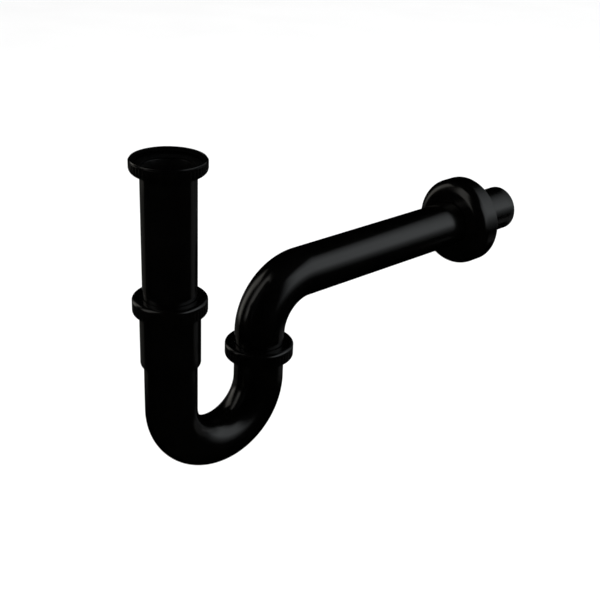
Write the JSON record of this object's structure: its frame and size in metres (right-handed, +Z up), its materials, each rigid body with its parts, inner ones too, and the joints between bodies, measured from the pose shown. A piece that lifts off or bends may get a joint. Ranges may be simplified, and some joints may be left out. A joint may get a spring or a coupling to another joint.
{
  "type": "basin trap",
  "caption": "Tubular washbasin trap in satin black: dip tube with a knurled inlet nut, U-tube held by knurled nuts, and a long outlet tube with a round wall flange.",
  "frame": {"origin": "centre of the inlet mouth, at the top face of the inlet nut", "axes": "+Z up the dip tube, out of the inlet mouth; +X along the outlet tube towards the wall"},
  "size_m": [0.326, 0.0624, 0.2093],
  "materials": {
    "lacquer": "satin black lacquer over brass",
    "rubber": "matt black sealing rubber",
    "nylon": "natural nylon"
  },
  "bodies": {
    "inlet": {"dip_tube": "lacquer", "inlet_washer": "rubber"},
    "inlet_nut": {"inlet_nut": "lacquer"},
    "slip_seal": {"slip_seal": "rubber"},
    "trap_bend": {"u_tube": "lacquer", "inlet_socket": "lacquer", "union_collar": "lacquer", "union_gasket": "rubber"},
    "slip_ring": {"slip_ring": "nylon"},
    "slip_nut": {"slip_nut": "lacquer"},
    "outlet": {"outlet_tube": "lacquer"},
    "union_ring": {"union_ring": "nylon"},
    "union_nut": {"union_nut": "lacquer"},
    "flange_grip": {"flange_grip": "rubber"},
    "flange": {"wall_flange": "lacquer"}
  },
  "joints": [
    {"name": "inlet_nut_turn", "type": "hinge", "parent": "inlet", "child": "inlet_nut", "pos_m": [0, 0, -0.005], "axis": [0, 0, 1], "continuous": true},
    {"name": "height_slide", "type": "slide", "parent": "inlet", "child": "slip_seal", "axis": [0, 0, 1], "range_m": [-0.02, 0.0025]},
    {"name": "trap_swivel", "type": "hinge", "parent": "slip_seal", "child": "trap_bend", "pos_m": [0, 0, -0.089], "axis": [0, 0, 1], "continuous": true},
    {"name": "slip_nut_lift", "type": "slide", "parent": "trap_bend", "child": "slip_ring", "axis": [0, 0, 1], "range_m": [0, 0.00475]},
    {"name": "slip_nut_turn", "type": "hinge", "parent": "slip_ring", "child": "slip_nut", "pos_m": [0, 0, -0.088], "axis": [0, 0, 1], "range_deg": [0, 740]},
    {"name": "outlet_swivel", "type": "hinge", "parent": "trap_bend", "child": "outlet", "pos_m": [0.0686, 0, -0.139], "axis": [0, 0, 1], "range_deg": [-125, 125]},
    {"name": "union_nut_lift", "type": "slide", "parent": "trap_bend", "child": "union_ring", "axis": [0, 0, 1], "range_m": [0, 0.00321]},
    {"name": "union_nut_turn", "type": "hinge", "parent": "union_ring", "child": "union_nut", "pos_m": [0.0686, 0, -0.139], "axis": [0, 0, 1], "range_deg": [0, 500]},
    {"name": "flange_slide", "type": "slide", "parent": "outlet", "child": "flange_grip", "axis": [1, 0, 0], "range_m": [-0.1445, 0.039]},
    {"name": "flange_turn", "type": "hinge", "parent": "flange_grip", "child": "flange", "pos_m": [0.2505, 0, -0.0946], "axis": [1, 0, 0], "continuous": true}
  ],
  "couplings": [
    {"joint": "slip_nut_lift", "follows": "slip_nut_turn", "m_per_rad": 0.0003675},
    {"joint": "union_nut_lift", "follows": "union_nut_turn", "m_per_rad": 0.0003675}
  ]
}
